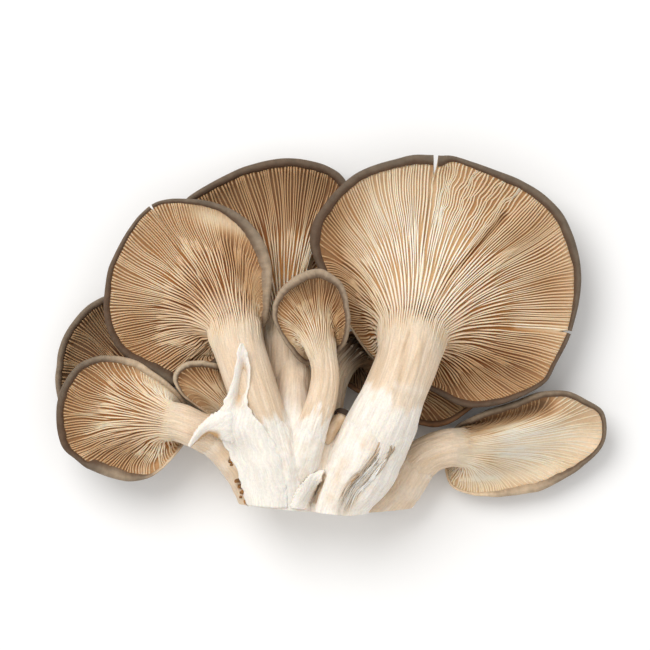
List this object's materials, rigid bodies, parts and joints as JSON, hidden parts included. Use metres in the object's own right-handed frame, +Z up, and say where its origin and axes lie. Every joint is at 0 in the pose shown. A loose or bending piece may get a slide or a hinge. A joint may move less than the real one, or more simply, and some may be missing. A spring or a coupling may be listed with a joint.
{
  "type": "oyster mushroom cluster",
  "caption": "Cluster of grey-brown oyster mushrooms on one white butt, laid on the tops of its caps so that the ribbed gills and pale stems face up.",
  "frame": {"origin": "on the surface the cluster lies on, under the centre of its outline seen from above", "axes": "+X along the cluster's width, towards its largest mushroom; +Y from the cut butt towards the caps; +Z up, away from the surface, on the gill side"},
  "size_m": [0.2058, 0.1339, 0.0472],
  "materials": {
    "butt": "matte",
    "mushroom": "matte"
  },
  "bodies": {
    "root": {"butt": "butt", "mushroom_right_large": "mushroom", "mushroom_left_large": "mushroom", "mushroom_back": "mushroom", "mushroom_front_small": "mushroom", "mushroom_left_low": "mushroom", "mushroom_left_back": "mushroom", "mushroom_left_tiny": "mushroom", "mushroom_right_low": "mushroom", "mushroom_hidden": "mushroom", "mushroom_pin": "mushroom"}
  },
  "joints": []
}
